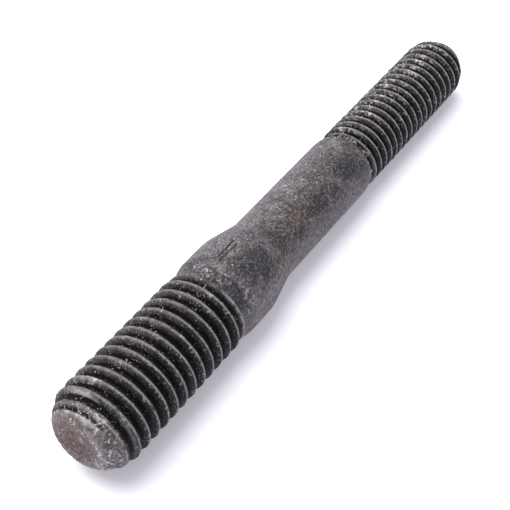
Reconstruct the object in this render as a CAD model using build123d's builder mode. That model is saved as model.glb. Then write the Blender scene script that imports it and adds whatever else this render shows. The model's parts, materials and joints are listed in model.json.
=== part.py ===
from build123d import *

import os
from math import atan2, ceil, cos, hypot, pi, sin, sqrt, tan

os.makedirs("parts", exist_ok=True)

# A double ended stud in blackened steel: one bar, turned down in steps and thread rolled.
# The large end screws into a tapped hole, the collar stops it there, and a nut clamps the
# work on the small end. Sizes are in millimetres. The stud lies on its side on the ground,
# z = 0, with its large end towards -X, and tips a little, because its ends differ in size.

# Large end: a coarse metric thread of nominal 10 mm, with a share of its pitch as flat crest.
large_radius = 4.98
large_pitch = 1.5
large_thread_depth = 1.01
large_crest_share = 0.22
large_thread_length = 20.0
large_runout_length = 1.35
large_runout_radius = 4.62
large_first_crest = 1.34
large_lead_length = 3.6
large_rim_width = 0.55
large_dish_radius = 2.35
large_dish_depth = 0.55

# Small end: a coarse metric thread of nominal 8 mm, with sharp crests.
small_radius = 3.95
small_pitch = 1.25
small_thread_depth = 0.85
small_crest_share = 0.0
small_thread_length = 24.1
small_runout_length = 1.0
small_runout_radius = 3.8
small_first_crest = 0.73
small_lead_length = 3.6
small_rim_width = 0.4
small_dish_radius = 1.7
small_dish_depth = 0.35

# How both threads are laid out. A groove takes up tip_share of the room that its two tips
# leave it. Its strips are made of patches that are patch_angle degrees long at most.
tip_share = 0.75
patch_angle = 90.0
least_part_turn = 0.02
turn_tolerance = 1e-6
turn_step = 1e-4
least_width = 1e-5

# Plain bar between the threads: a collar, a taper, the shank and its shoulder.
collar_rise_length = 1.15
collar_radius = 5.03
collar_length = 4.1
taper_length = 4.5
shank_radius = 4.03
shank_length = 16.6
shoulder_length = 1.2

# The bar is revolved from a plane leaned over by this many degrees, so that the seam this
# leaves along it stays away from the ground.
seam_lean = 45.0

# The flat rim around each end's dish.
large_rim_radius = large_dish_radius + large_rim_width
small_rim_radius = small_dish_radius + small_rim_width

# Stations along the stud's axis, counted from the large end.
dip = large_thread_length + large_runout_length
collar_start = dip + collar_rise_length
collar_end = collar_start + collar_length
shank_start = collar_end + taper_length
shank_end = shank_start + shank_length
neck = shank_end + shoulder_length
stud_length = neck + small_runout_length + small_thread_length

# On the ground the stud bears on the end of its collar and on the small end's last crest.
bearing_span = stud_length - small_lead_length - collar_end
tilt = atan2(collar_radius - small_radius, bearing_span)
axis_height = collar_radius * cos(tilt) + collar_end * sin(tilt)
axis_direction = Vector(cos(tilt), 0, -sin(tilt))
large_face = Vector(0, 0, axis_height) - Vector(stud_length / 2 * cos(tilt), 0, 0)
small_face = large_face + axis_direction * stud_length

# Each end has its own plane: x runs inwards from its face along the axis, and y is up.
large_plane = Plane(large_face, x_dir=axis_direction, z_dir=(0, -1, 0))
small_plane = Plane(small_face, x_dir=-axis_direction, z_dir=(0, 1, 0))
stud_axis = Axis(large_face, axis_direction)
seam_plane = Plane(large_plane.location * Rotation(seam_lean, 0, 0))


def smooth_step(at, begin, finish):
    """Rise from 0 at begin to 1 at finish, level at both."""
    share = min(max((at - begin) / (finish - begin), 0), 1)
    return share * share * (3 - 2 * share)


class ThreadedEnd:
    """One threaded end in its own plane, from a rounded nose to where the thread runs out."""

    def __init__(
        self,
        radius,
        pitch,
        depth,
        crest_share,
        length,
        runout,
        runout_radius,
        rim,
        lead,
        first_crest,
    ):
        self.radius = radius
        self.length = length
        self.stop = length + runout
        self.runout_radius = runout_radius
        self.rim = rim
        self.lead = lead
        self.depth = depth
        # The nose is an arc that runs level into the crests and drops to the rim.
        drop = radius - rim
        self.nose_radius = (lead**2 + drop**2) / (2 * drop)
        # The groove starts where the nose is as wide as its bottom.
        low = self.nose_radius - self.depth
        self.start = lead - sqrt(self.nose_radius**2 - low**2)
        # The groove winds from first_turn to last_turn, with a whole turn a pitch long.
        self.first_turn = (self.start - first_crest - pitch / 2) / pitch % 1
        # A count that is nearly whole becomes whole, so that no strip is a sliver.
        self.turns = (self.stop - self.start) / pitch
        if abs(self.turns - round(self.turns)) < least_part_turn:
            self.turns = round(self.turns)
        self.last_turn = self.first_turn + self.turns
        self.pitch = (self.stop - self.start) / self.turns
        self.half_width = self.pitch * (1 - crest_share) / 2

    def crest(self, x):
        """The radius of the bar at x before it is rolled, which the crests keep."""
        if x < self.lead:
            rise = sqrt(self.nose_radius**2 - (self.lead - x) ** 2)
            return self.radius - self.nose_radius + rise
        fall = smooth_step(x, self.length, self.stop)
        return self.radius + (self.runout_radius - self.radius) * fall

    def root(self, x):
        """The radius of the groove's bottom at x, which comes up where the thread runs out."""
        bottom = self.radius - self.depth
        come_up = smooth_step(x, self.length, self.stop)
        return min(bottom + (self.runout_radius - bottom) * come_up, self.crest(x))

    def groove_point(self, turn, side):
        """A point on the groove: side 0 is its bottom, and -1 and 1 are its two edges."""
        middle = self.start + self.pitch * (turn - self.first_turn)
        # Towards its two tips the groove narrows, so that it stays inside the rolled length.
        room = tip_share * max(min(middle - self.start, self.stop - middle), 0)
        share = min(room / self.half_width, 1)
        x = middle + side * share * self.half_width
        depth = min(self.crest(middle) - self.root(middle), share * self.depth)
        r = self.crest(x) if side else self.crest(middle) - depth
        return Vector(x, r * cos(2 * pi * turn), r * sin(2 * pi * turn))

    def groove_poles(self, begin, finish, side):
        """The four poles of a stretch of one of the groove's three long edges."""
        # Poles this far along the tangents bring a cubic curve onto an arc.
        reach = 2 / (3 * pi) * tan(pi * (finish - begin) / 2)
        poles = []
        for turn, way in ((begin, 1), (finish, -1)):
            at = self.groove_point(turn, side)
            ahead = self.groove_point(turn + way * turn_step, side)
            poles += [at, at + (ahead - at) / turn_step * reach]
        return [poles[0], poles[1], poles[3], poles[2]]

    def strip(self, begin, finish, sides):
        """A patch between two of the groove's edges, given as their turns back and sides."""
        rows = [self.groove_poles(begin - back, finish - back, side) for back, side in sides]
        # Each edge weighs as much as the other's radius, so that the patch follows the ring.
        radii = [self.groove_point((begin + finish) / 2 - back, side) for back, side in sides]
        weights = [hypot(point.Y, point.Z) for point in radii[::-1]]
        return Face.make_bezier_surface(list(zip(*rows)), [weights] * len(rows[0]))

    def has_crest(self, turn):
        """Whether a flat crest is left between the groove and its previous turn."""
        gap = self.groove_point(turn, -1) - self.groove_point(turn - 1, 1)
        return gap.length > least_width

    def ring_edge(self, begin, finish, x):
        """A stretch of the plain circle at x, where the rolled length ends."""
        circle_plane = Plane((x, 0, 0), x_dir=(0, 1, 0), z_dir=(1, 0, 0))
        return Edge.make_circle(self.crest(x), circle_plane, 360 * begin, 360 * finish)

    def patch_ends(self):
        """The turns at which the strips are cut: under both tips of the groove, and between."""
        whole = [self.first_turn + i for i in range(ceil(self.turns) + 2)]
        part = [self.last_turn + 1 - i for i in range(ceil(self.turns) + 2)]
        low = self.first_turn - turn_tolerance
        high = self.last_turn + 1 + turn_tolerance
        cuts = sorted({round(cut, 9) for cut in whole + part if low < cut < high})
        ends = []
        for begin, finish in zip(cuts, cuts[1:]):
            count = ceil((finish - begin) * 360 / patch_angle - turn_tolerance)
            ends += [begin + (finish - begin) * i / count for i in range(count)]
        return ends + [cuts[-1]]

    def rolled_length(self):
        """A solid closed by strips that wind side by side: two flanks, then a crest."""
        strips = []
        start_ring = []
        stop_ring = []
        ends = self.patch_ends()
        for begin, finish in zip(ends, ends[1:]):
            in_groove = finish < self.last_turn + turn_tolerance
            after_groove = begin > self.first_turn + 1 - turn_tolerance
            if in_groove:
                strips.append(self.strip(begin, finish, ((0, -1), (0, 0))))
                strips.append(self.strip(begin, finish, ((0, 0), (0, 1))))
            if in_groove and after_groove:
                if self.has_crest(begin) or self.has_crest(finish):
                    strips.append(self.strip(begin, finish, ((1, 1), (0, -1))))
            elif in_groove:
                ring = self.ring_edge(begin, finish, self.start)
                start_ring.append(ring)
                edge = Edge.make_bezier(*self.groove_poles(begin, finish, -1))
                strips.append(Face.make_surface_from_curves(ring, edge))
            else:
                ring = self.ring_edge(begin, finish, self.stop)
                stop_ring.append(ring)
                edge = Edge.make_bezier(*self.groove_poles(begin - 1, finish - 1, 1))
                strips.append(Face.make_surface_from_curves(edge, ring))
        caps = [Face(Wire(ring)) for ring in (start_ring, stop_ring)]
        return Solid(Shell(strips + caps))


large = ThreadedEnd(
    large_radius,
    large_pitch,
    large_thread_depth,
    large_crest_share,
    large_thread_length,
    large_runout_length,
    large_runout_radius,
    large_rim_radius,
    large_lead_length,
    large_first_crest,
)
small = ThreadedEnd(
    small_radius,
    small_pitch,
    small_thread_depth,
    small_crest_share,
    small_thread_length,
    small_runout_length,
    small_runout_radius,
    small_rim_radius,
    small_lead_length,
    small_first_crest,
)


def nose_profile(end, dish_radius, dish_depth):
    """Half the section of a nose: a shallow dish, a flat rim and the arc up to the thread."""
    Polyline((dish_depth, 0), (0, dish_radius), (0, end.rim))
    RadiusArc((0, end.rim), (end.start, end.crest(end.start)), -end.nose_radius)
    Polyline((end.start, end.crest(end.start)), (end.start, 0), (dish_depth, 0))


with BuildPart() as stud:
    # The bar between the threads.
    with BuildSketch(seam_plane):
        with BuildLine():
            Polyline(
                (dip, large_runout_radius),
                (collar_start, collar_radius),
                (collar_end, collar_radius),
                (shank_start, shank_radius),
                (shank_end, shank_radius),
                (neck, small_runout_radius),
                (neck, 0),
                (dip, 0),
                close=True,
            )
        make_face()
    revolve(axis=stud_axis)
    # The two noses.
    with BuildSketch(large_plane):
        with BuildLine():
            nose_profile(large, large_dish_radius, large_dish_depth)
        make_face()
    revolve(axis=stud_axis)
    with BuildSketch(small_plane):
        with BuildLine():
            nose_profile(small, small_dish_radius, small_dish_depth)
        make_face()
    revolve(axis=stud_axis)
    # The two rolled lengths, which join them face to face.
    add(large_plane.location * large.rolled_length())
    add(small_plane.location * small.rolled_length())

stud.part.label = "stud"
export_step(stud.part, "parts/stud.step")
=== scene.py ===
# %% [markdown]
# # A double ended stud in blackened steel
# A stud like this is one bar with a thread at each end. Its thick end is screwed into a tapped hole
# until the collar stops it, and a nut on its thin end clamps the work. This lesson dresses the plain
# solid as a real, handled stud: rolled threads with round crests, nicks, a rusty face, pale dust.
# It is one piece of steel, so it becomes one closed mesh, with one material. The first cell loads
# the solid as a frame that fixes every size and place.

# %% Load the frame
import json
from math import atan2, cos, degrees, exp, floor, hypot, pi, radians, sin, sqrt, tan

import bmesh
import bpy
from mathutils import Matrix, Vector, noise


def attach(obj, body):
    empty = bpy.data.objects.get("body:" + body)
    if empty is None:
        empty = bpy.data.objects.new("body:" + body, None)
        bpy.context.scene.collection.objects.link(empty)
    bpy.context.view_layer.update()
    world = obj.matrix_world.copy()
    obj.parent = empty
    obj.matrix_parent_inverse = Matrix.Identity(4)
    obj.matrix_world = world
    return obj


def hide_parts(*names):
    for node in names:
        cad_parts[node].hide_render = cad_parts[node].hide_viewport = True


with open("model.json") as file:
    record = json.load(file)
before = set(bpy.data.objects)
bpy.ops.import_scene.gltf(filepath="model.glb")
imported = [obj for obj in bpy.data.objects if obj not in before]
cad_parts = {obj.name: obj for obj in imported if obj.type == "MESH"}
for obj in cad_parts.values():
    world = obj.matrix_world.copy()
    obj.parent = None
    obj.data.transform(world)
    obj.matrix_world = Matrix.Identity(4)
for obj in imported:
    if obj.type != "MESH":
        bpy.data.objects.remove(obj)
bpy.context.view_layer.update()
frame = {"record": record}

mounts = {mount["name"]: mount for mount in frame["record"]["mounts"]}
large_face = Vector(mounts["large_thread"]["pos_m"])
small_face = Vector(mounts["small_thread"]["pos_m"])

# %% [markdown]
# The stud lies on the ground and dips a little towards its thin end. It could be modelled where it
# lies, but every ring would then be tilted. It is easier to work along a straight axis and in
# millimetres, so all shaping happens in the bar's own space: x is the distance from the thick end's
# face, and z is up. One matrix takes that space to the ground at the very end.

# %% The bar's own space
MM = 0.001
axis = (small_face - large_face).normalized()
stud_length = (small_face - large_face).length / MM
across = Vector((0, 1, 0))
upward = axis.cross(across)
bar_to_ground = Matrix.Translation(large_face) @ Matrix((axis, across, upward)).transposed().to_4x4()
bar_to_ground = bar_to_ground @ Matrix.Scale(MM, 4)
tilt = atan2(-axis.z, axis.x)
print(f"length {stud_length:.2f} mm, tilt {degrees(tilt):.2f} degrees")

# %% [markdown]
# Both ends are alike but for their sizes: a nose that starts as an arc at the rim and runs level
# into the crests, a thread of one pitch, and a run-out where the groove comes up to the bar. One set
# of functions can then make both, from a dictionary of sizes for each. The last four values say how
# the bright line along a crest fades to its sides, how bright it is, and how fine the mesh is.

# %% Sizes of the two threaded ends
def end_sizes(**sizes):
    """The sizes of an end in millimetres from its face, with those that follow from the others."""
    drop = sizes["radius"] - sizes["rim"]
    sizes["stop"] = sizes["length"] + sizes["runout"]
    sizes["nose_radius"] = (sizes["lead"] ** 2 + drop**2) / (2 * drop)
    return sizes


LARGE = end_sizes(
    radius=4.98,
    pitch=1.5,
    length=20.0,
    runout=1.35,
    runout_radius=4.62,
    first_crest=1.34,
    rim=2.9,
    lead=3.6,
    dish=2.35,
    dish_depth=0.55,
    bright_line=(0.01, 0.11),
    shine=0.85,
    steps=156,
    face_rings=20,
)
SMALL = end_sizes(
    radius=3.95,
    pitch=1.25,
    length=24.1,
    runout=1.0,
    runout_radius=3.8,
    first_crest=0.73,
    rim=2.1,
    lead=3.6,
    dish=1.7,
    dish_depth=0.35,
    bright_line=(0.02, 0.10),
    shine=1.0,
    steps=120,
    face_rings=12,
)
print("large end stops at", LARGE["stop"], "and the small end at", stud_length - SMALL["stop"])

# %% [markdown]
# A rolled thread is pressed into the bar by dies, so nothing on it is sharp. Its crest is a soft
# hump, its flanks stand at 60 degrees to each other, and its root is a small round. A bevel could
# round a sharp V, but a function serves both pitches at once. It says how far the surface lies under
# the crest, at an offset along the axis. Its widths are shares of the pitch.

# %% The rolled thread's shape
CREST_HALF = 0.110
CREST_SOFT = 0.085
ROOT_ROUND = 0.09
FLANK_SLOPE = 1 / tan(radians(30))


def ridge_drop(offset, pitch):
    """Depth under the crest, for an offset from the crest's middle."""
    u = abs(offset) / pitch
    if u < CREST_HALF - CREST_SOFT:
        drop = 0.0
    elif u < CREST_HALF + CREST_SOFT:
        drop = (u - CREST_HALF + CREST_SOFT) ** 2 / (4 * CREST_SOFT)
    elif u < 0.5 - ROOT_ROUND:
        drop = u - CREST_HALF
    else:
        drop = 0.5 - CREST_HALF - ROOT_ROUND / 2 - (0.5 - u) ** 2 / (2 * ROOT_ROUND)
    return FLANK_SLOPE * drop * pitch


for end in (LARGE, SMALL):
    end["depth"] = ridge_drop(end["pitch"] / 2, end["pitch"])
    print(f"pitch {end['pitch']} mm, thread depth {end['depth']:.3f} mm")

# %% [markdown]
# A thread could be cut with a boolean, but the cut's edges would not follow the ridge. So
# `bmesh.ops.spin` makes it: with a `dvec` it moves each copy along the axis as it turns, like a
# screw. A short line across one ridge, spun once round, gives one turn whose edges follow the ridge.
# The line has more points where the ridge bends, and it starts some turns before the face.

# %% One turn of thread
RIDGE_SHARES = (-0.5, -0.44, -0.35, -0.25, -0.17, -0.11, -0.05, 0, 0.05, 0.11, 0.17, 0.25, 0.35, 0.44, 0.5)
TURNS_BEFORE = 2


def spin_one_turn(end):
    """A bmesh with one turn of an end's thread, at its crests' radius."""
    pitch = end["pitch"]
    first = end["first_crest"] - TURNS_BEFORE * pitch
    bm = bmesh.new()
    line = [bm.verts.new((first + share * pitch, 0, end["radius"])) for share in RIDGE_SHARES]
    edges = [bm.edges.new(pair) for pair in zip(line, line[1:])]
    bmesh.ops.spin(
        bm,
        geom=line + edges,
        cent=(0, 0, 0),
        axis=(1, 0, 0),
        dvec=(pitch / end["steps"], 0, 0),
        angle=2 * pi,
        steps=end["steps"],
        use_merge=False,
    )
    return bm


large_bm = spin_one_turn(LARGE)
small_bm = spin_one_turn(SMALL)
halves = ((large_bm, LARGE), (small_bm, SMALL))
print("faces in a turn:", [len(bm.faces) for bm, end in halves])

# %% [markdown]
# One long spin would wind the whole thread, but with each turn apart from the next. Copies of one
# turn, each a pitch further on, touch one another exactly, and `remove_doubles` joins them. Two
# planes then trim the ends, at the face and at the end of the run-out.

# %% Wind the threads
WELD_DISTANCE = 0.002
TRIM_SLACK = 0.0001
FACE_TRIM = 0.02
RING_SLACK = 0.01


def wind_thread(bm, end):
    """Repeats the one turn, as a screw-shaped sheet from the face to the end of the run-out."""
    one_turn = bm.verts[:] + bm.edges[:] + bm.faces[:]
    for turn in range(1, TURNS_BEFORE + int(end["stop"] / end["pitch"]) + 1):
        copied = bmesh.ops.duplicate(bm, geom=one_turn)["geom"]
        verts = [item for item in copied if isinstance(item, bmesh.types.BMVert)]
        bmesh.ops.translate(bm, verts=verts, vec=(end["pitch"] * turn, 0, 0))
    bmesh.ops.remove_doubles(bm, verts=bm.verts, dist=WELD_DISTANCE)
    for at, outwards in ((FACE_TRIM, -1), (end["stop"], 1)):
        bmesh.ops.bisect_plane(
            bm,
            geom=bm.verts[:] + bm.edges[:] + bm.faces[:],
            dist=TRIM_SLACK,
            plane_co=(at, 0, 0),
            plane_no=(outwards, 0, 0),
            clear_outer=True,
        )


def open_ring(bm, at):
    """The edges of the sheet's open ring at that distance."""
    return [
        edge
        for edge in bm.edges
        if edge.is_boundary and all(abs(vert.co.x - at) < RING_SLACK for vert in edge.verts)
    ]


for bm, end in halves:
    wind_thread(bm, end)
    rings = [len(open_ring(bm, at)) for at in (FACE_TRIM, end["stop"])]
    print("pitch", end["pitch"], "thread:", len(bm.faces), "faces, rings of", rings, "edges")

# %% [markdown]
# The sheet still has no nose and no run-out. They could be cut with more solids, but it is simpler
# to say, for each place, how far out the real surface lies. The helpers below give the parts of that
# answer: the nose's arc, the way to the nearest crest, and soft steps, windows and bells for
# whatever starts, lasts and ends somewhere along the bar or around it.

# %% Helpers for the surface
def smooth_step(at, begin, finish):
    """Rise from 0 at begin to 1 at finish, level at both."""
    share = min(max((at - begin) / (finish - begin), 0), 1)
    return share * share * (3 - 2 * share)


def window(at, begin, whole, ebb, finish):
    """Rise from 0 at begin to 1 at whole, and fall from 1 at ebb to 0 at finish."""
    return smooth_step(at, begin, whole) * (1 - smooth_step(at, ebb, finish))


def bell(aside, half_width):
    """A soft hump, 1 in its middle."""
    return exp(-((aside / half_width) ** 2))


def soft_min(a, b, width):
    """The lower of two values, with the corner between them rounded over that width."""
    blend = max(width - abs(a - b), 0) / width
    return min(a, b) - blend * blend * width / 4


def nose_limit(end, x):
    """The nose's radius at x, level with the crests once the lead is past."""
    if x >= end["lead"]:
        return end["radius"]
    return end["radius"] - end["nose_radius"] + sqrt(end["nose_radius"] ** 2 - (end["lead"] - x) ** 2)


def crest_offset(end, x, turn):
    """The distance along the axis to the nearest crest, at that share of a turn from the top."""
    phase = (x - end["first_crest"]) / end["pitch"] - turn
    return (phase - floor(phase + 0.5)) * end["pitch"]


print(f"nose radius at the rim {nose_limit(LARGE, 0):.2f} and {nose_limit(SMALL, 0):.2f} mm")

# %% [markdown]
# Rolling dies leave three marks of their own. They fold a lip over on the thick end's nose, which
# leaves a thin gap part of the way round. They press one faint last crest into its run-out. And
# beside the shoulder of the thin end they leave a ragged last groove. Each could be modelled as a
# loop of edges, but a function of the place needs no cutting: it says how fully a place lies in the
# mark. Angles are in degrees from the top of the bar, towards the viewer's side.

# %% Marks that the dies leave
FOLD_STATION = 0.98
FOLD_HALF_WIDTH = 0.17
FOLD_DEPTH = 0.30
FOLD_ANGLES = (-95, -60, 22, 48)
FOLD_SWAY = 0.05
FOLD_WAVES = 3
LAST_CREST = 20.62
LAST_CREST_HEIGHT = 0.14
LAST_CREST_HALF_WIDTH = 0.13
LAST_CREST_ANGLES = (12, 45, 115, 150)
LAST_GROOVE = 24.72
LAST_GROOVE_DEPTH = 0.26
LAST_GROOVE_HALF_WIDTH = 0.20
LAST_GROOVE_WAVES = ((0.07, 5), (0.05, 13))


def fold_amount(x, turn):
    """How fully the place lies in the gap behind the folded lip, from 0 to 1."""
    angle = 360 * turn
    station = FOLD_STATION + FOLD_SWAY * sin(radians(FOLD_WAVES * angle))
    return window(angle, *FOLD_ANGLES) * bell(x - station, FOLD_HALF_WIDTH)


def last_crest(end, x, turn):
    """How fully the place lies on the last crest of the thick end, from 0 to 1."""
    if end is not LARGE:
        return 0.0
    station = LAST_CREST + end["pitch"] * turn
    return window(360 * turn, *LAST_CREST_ANGLES) * bell(x - station, LAST_CREST_HALF_WIDTH)


def last_groove(end, x, turn):
    """How fully the place lies in the last groove of the thin end, from 0 to 1."""
    if end is not SMALL:
        return 0.0
    station = LAST_GROOVE
    for sway, waves in LAST_GROOVE_WAVES:
        station += sway * sin(2 * waves * pi * turn)
    return bell(x - station, LAST_GROOVE_HALF_WIDTH)


print("the fold is", FOLD_DEPTH, "mm deep, the last groove", LAST_GROOVE_DEPTH, "mm")

# %% [markdown]
# With these helpers the real surface's radius can be put together in the order in which the steel
# was formed: the ridge, which rises to the bare bar in the run-out, then the nose's arc, which no
# ridge passes, then the marks. The dies also press the first groove a little way into the nose. The
# corner where ridge and nose meet is rounded, as `soft_min` takes the lower of the two.

# %% The radius of a threaded end
FADE_LEAD = 0.3
NOSE_SOFT = 0.10
NOSE_GROOVE = 0.45
NOSE_GROOVE_STARTS = (0.9, 1.4)


def faded(end, x):
    """How far the thread has run out at x, from 0 to 1."""
    return smooth_step(x, end["length"] - FADE_LEAD, end["stop"])


def thread_radius(end, x, turn):
    """The real surface's radius at a place."""
    drop = ridge_drop(crest_offset(end, x, turn), end["pitch"])
    radius = end["radius"] - drop
    radius += (end["runout_radius"] - radius) * faded(end, x)
    pressed = NOSE_GROOVE * drop * smooth_step(x, *NOSE_GROOVE_STARTS)
    radius = soft_min(radius, nose_limit(end, x) - pressed, NOSE_SOFT)
    raised = LAST_CREST_HEIGHT * last_crest(end, x, turn)
    cut = FOLD_DEPTH * fold_amount(x, turn) + LAST_GROOVE_DEPTH * last_groove(end, x, turn)
    return radius + raised - cut


print(f"radius 10 mm from the thick end's face {thread_radius(LARGE, 10, 0):.2f} mm")

# %% [markdown]
# The finish will need to know three things about a point: how near it is to a crest, to the rim or
# to the lip, how deep it lies in a groove, and whether it belongs to the thread or to the plain bar.
# They could be guessed later from the mesh's curvature, but they are known exactly here.

# %% What the finish needs to know
THREAD_STARTS = (-0.30, 0.0)
LINE_STARTS = (-0.4, -0.1)
FOLD_SHADE = 0.95
LAST_GROOVE_SHADE = 0.9
LAST_CREST_SHADE = 0.7
SHADE_TO_LAST_CREST = 0.24
RIM_WEAR_AND_SHINE = 0.5
RIM_STATION = 0.1
RIM_BAND = 0.16
LIP_WEAR_AND_SHINE = 0.9
LIP_TO_FOLD = 0.32
LAST_CREST_WEAR_AND_SHINE = 0.9


def finish_values(end, x, turn, radius):
    """How much a place is thread, groove and crest, each from 0 to 1."""
    offset = crest_offset(end, x, turn)
    beyond = x - end["first_crest"] - end["pitch"] * turn
    whole = 1 - faded(end, x)
    thread = smooth_step(beyond, *THREAD_STARTS) * whole
    below = (nose_limit(end, x) - radius) / end["depth"] * whole
    in_ridge = thread * ridge_drop(offset, end["pitch"]) / end["depth"]
    # Painted shade goes into the groove value: in the gap behind the lip, in the last groove, and as a
    # shadow just before the last crest.
    fold = FOLD_SHADE * fold_amount(x, turn)
    shade = LAST_CREST_SHADE * last_crest(end, x + SHADE_TO_LAST_CREST, turn)
    cut = LAST_GROOVE_SHADE * last_groove(end, x, turn)
    # The crest value sets a bright line of worn steel and painted highlight on the crests, the rim, the
    # lip and the last crest.
    line = end["shine"] * (1 - smooth_step(abs(offset), *end["bright_line"]))
    line *= whole * smooth_step(beyond, *LINE_STARTS)
    rim = RIM_WEAR_AND_SHINE * bell(x - RIM_STATION, RIM_BAND)
    lip = LIP_WEAR_AND_SHINE * fold_amount(x + LIP_TO_FOLD, turn)
    last = LAST_CREST_WEAR_AND_SHINE * last_crest(end, x, turn)
    return {
        "thread": thread,
        "groove": min(max(below, in_ridge, fold, shade, cut), 1),
        "crest": max(line, rim, lip, last),
    }


print("values kept for the finish:", list(finish_values(LARGE, 10, 0, LARGE["radius"])))

# %% [markdown]
# Now every point of the sheet moves to its radius and keeps its three values. They are stored in
# float layers of the mesh, under their own names, where a material can read them as attributes.

# %% Shape the threads
def shape_thread(bm, end):
    """Gives each point of a wound sheet its true radius, and its values for the finish."""
    layers = {name: bm.verts.layers.float.new(name) for name in ("crest", "groove", "thread")}
    for vert in bm.verts:
        x, y, z = vert.co
        turn = atan2(-y, z) / (2 * pi)
        radius = thread_radius(end, x, turn)
        scale = radius / hypot(y, z)
        vert.co = (x, y * scale, z * scale)
        for name, value in finish_values(end, x, turn, radius).items():
            vert[layers[name]] = value


for bm, end in halves:
    shape_thread(bm, end)
    reach = max(hypot(vert.co.y, vert.co.z) for vert in bm.verts)
    print(f"widest crest {reach:.3f} mm")

# %% [markdown]
# Cutting the bar to length leaves a flat face, and the rolling dies push metal over it, so the middle
# stays behind as a shallow dish. A face fill would be flat, so the open ring at the face is extruded
# inwards instead, ring by ring, over the rim and down into the dish, and the last ring is merged
# into one point. New points inherit the rim's bright line of wear and painted highlight, which is
# let fade from ring to ring.

# %% Close the two faces
DISH_SPREAD = 1.08
DISH_POWER = 1.35
INNER_RING = 0.6
RIM_WEAR_AND_SHINE_KEPT = 0.72


def extrude_ring(bm, ring):
    """Extrudes an open ring of edges, and returns the new points and the new open ring."""
    made = bmesh.ops.extrude_edge_only(bm, edges=ring)["geom"]
    verts = [item for item in made if isinstance(item, bmesh.types.BMVert)]
    edges = [item for item in made if isinstance(item, bmesh.types.BMEdge) and item.is_boundary]
    return verts, edges


def dish_x(end, radius):
    """How far the face lies inside the rim at that radius."""
    share = min(radius / (end["dish"] * DISH_SPREAD), 1)
    return end["dish_depth"] * (1 - share * share) ** DISH_POWER


def close_face(bm, end):
    """Closes the open ring at the face with smaller and smaller rings and one middle point."""
    ring = open_ring(bm, FACE_TRIM)
    crest = bm.verts.layers.float["crest"]
    for row in range(1, end["face_rings"] + 1):
        radius = end["rim"] * (1 - row / (end["face_rings"] + INNER_RING))
        verts, ring = extrude_ring(bm, ring)
        for vert in verts:
            turned = atan2(vert.co.y, vert.co.z)
            vert.co = (dish_x(end, radius), radius * sin(turned), radius * cos(turned))
            vert[crest] *= RIM_WEAR_AND_SHINE_KEPT
    bmesh.ops.pointmerge(bm, verts=verts, merge_co=(dish_x(end, 0), 0, 0))


for bm, end in halves:
    close_face(bm, end)
    print("dish", dish_x(end, 0), "mm deep, faces now", len(bm.faces))

# %% [markdown]
# Between the threads the bar has a collar, a taper, the shank and a low shoulder. A spun outline
# would need a seam to each thread, so they grow out of the threads' own rings instead, station by
# station. The forged and turned corners are soft, so the radius is the average of the plain outline
# over a short stretch of the axis.

# %% Grow the collar, taper and shank
BAR_OUTLINE = (
    (21.35, 4.62),
    (22.5, 5.03),
    (26.6, 5.03),
    (31.1, 4.03),
    (47.7, 4.03),
    (48.9, 3.8),
    (50.0, 3.8),
)
CORNER_REACH = 0.55
CORNER_SAMPLES = 9
JOIN_STATION = 40.0
ROW_STEP = 0.24


def outline_radius(station):
    """The plain outline's radius, with sharp corners."""
    for (x0, r0), (x1, r1) in zip(BAR_OUTLINE, BAR_OUTLINE[1:]):
        if station <= x1:
            return r0 + (r1 - r0) * max(station - x0, 0) / (x1 - x0)
    return BAR_OUTLINE[-1][1]


def bar_radius(station):
    """The real bar's radius, averaged over a stretch around the station."""
    reach = min(CORNER_REACH, station - LARGE["stop"], stud_length - SMALL["stop"] - station)
    reach = max(reach, 0)
    spots = [station + reach * (2 * i / (CORNER_SAMPLES - 1) - 1) for i in range(CORNER_SAMPLES)]
    return sum(outline_radius(spot) for spot in spots) / CORNER_SAMPLES


def grow_bar(bm, ring, stations, to_x):
    """Extrudes a ring from station to station. to_x turns a station into the sheet's own x."""
    for station in stations:
        verts, ring = extrude_ring(bm, ring)
        for vert in verts:
            scale = bar_radius(station) / hypot(vert.co.y, vert.co.z)
            vert.co = (to_x(station), vert.co.y * scale, vert.co.z * scale)


large_rows = int((JOIN_STATION - LARGE["stop"]) / ROW_STEP)
large_stations = [LARGE["stop"] + ROW_STEP * (row + 1) for row in range(large_rows)]
small_start = stud_length - SMALL["stop"]
small_rows = int((small_start - large_stations[-1]) / ROW_STEP) - 1
small_stations = [small_start - ROW_STEP * (row + 1) for row in range(small_rows)]
grow_bar(large_bm, open_ring(large_bm, LARGE["stop"]), large_stations, lambda at: at)
grow_bar(small_bm, open_ring(small_bm, SMALL["stop"]), small_stations, lambda at: stud_length - at)
print(f"collar radius {max(map(bar_radius, large_stations)):.2f}, "
      f"shank radius {bar_radius(JOIN_STATION):.2f}")

# %% [markdown]
# The small end was made inwards from its own face. Half a turn about the upright axis brings it to
# the far end without changing the hand of its thread. A mirror would have made it left-handed.
# The two open rings have different numbers of points, and `bridge_loops` fills the band between.

# %% Join the two halves
half_turn = Matrix.Translation((stud_length, 0, 0)) @ Matrix.Rotation(pi, 4, "Z")
small_bm.transform(half_turn)
small_mesh = bpy.data.meshes.new("small_half")
small_bm.to_mesh(small_mesh)
large_bm.from_mesh(small_mesh)
bpy.data.meshes.remove(small_mesh)
small_bm.free()
stud_bm = large_bm
open_edges = [edge for edge in stud_bm.edges if edge.is_boundary]
bmesh.ops.bridge_loops(stud_bm, edges=open_edges)
bmesh.ops.recalc_face_normals(stud_bm, faces=stud_bm.faces)
print("bar:", len(stud_bm.verts), "points; open edges:", sum(e.is_boundary for e in stud_bm.edges))

# %% [markdown]
# Jaws once held this stud by its collar and left short lengthwise scores there. A bump in the
# material would vanish at the outline, so they are real grooves, and the faces around them are cut
# finer first. A place on the bar is given by its station along the axis and by its angle from the
# top. A score is given by its two ends and its angle.

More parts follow.
